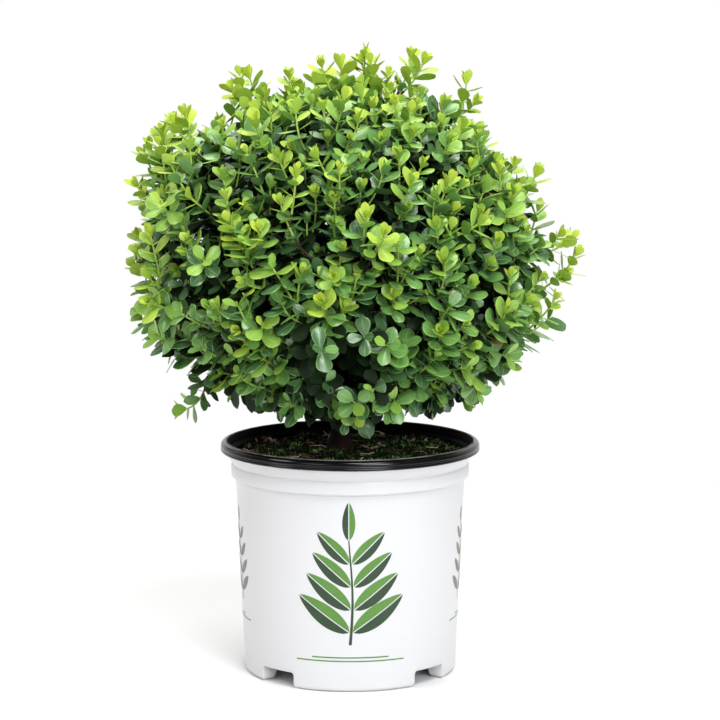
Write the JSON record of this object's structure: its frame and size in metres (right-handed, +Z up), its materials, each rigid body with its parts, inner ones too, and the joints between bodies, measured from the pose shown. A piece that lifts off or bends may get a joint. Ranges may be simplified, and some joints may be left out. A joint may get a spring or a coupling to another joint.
{
  "type": "potted box shrub",
  "caption": "Evergreen box shrub grown as a loose round ball of small glossy leaves on a short trunk, in a round white plastic nursery pot with a black rolled rim.",
  "frame": {"origin": "middle of the pot's foot circle, on the surface that the pot stands on", "axes": "+Z up along the pot's axis, -Y towards the front, +X to the right as seen from the front"},
  "size_m": [0.4033, 0.393, 0.553],
  "materials": {
    "pot": "satin white plastic",
    "pot_rim": "glossy black plastic",
    "potting_mix": "moist crumbly bark and peat",
    "bark": "rough brown bark",
    "foliage": "glossy green leaves"
  },
  "bodies": {
    "root": {"pot": "pot", "pot_rim": "pot_rim", "potting_mix": "potting_mix", "trunk": "bark", "bough_top": "bark", "bough_upper_left": "bark", "bough_upper_front": "bark", "bough_upper_right": "bark", "bough_upper_back": "bark", "bough_lower_left": "bark", "bough_lower_front_left": "bark", "bough_lower_front_right": "bark", "bough_lower_right": "bark", "bough_lower_back_right": "bark", "bough_lower_back_left": "bark", "foliage_top": "foliage", "foliage_upper_left": "foliage", "foliage_upper_front": "foliage", "foliage_upper_right": "foliage", "foliage_upper_back": "foliage", "foliage_lower_left": "foliage", "foliage_lower_front_left": "foliage", "foliage_lower_front_right": "foliage", "foliage_lower_right": "foliage", "foliage_lower_back_right": "foliage", "foliage_lower_back_left": "foliage"}
  },
  "joints": []
}
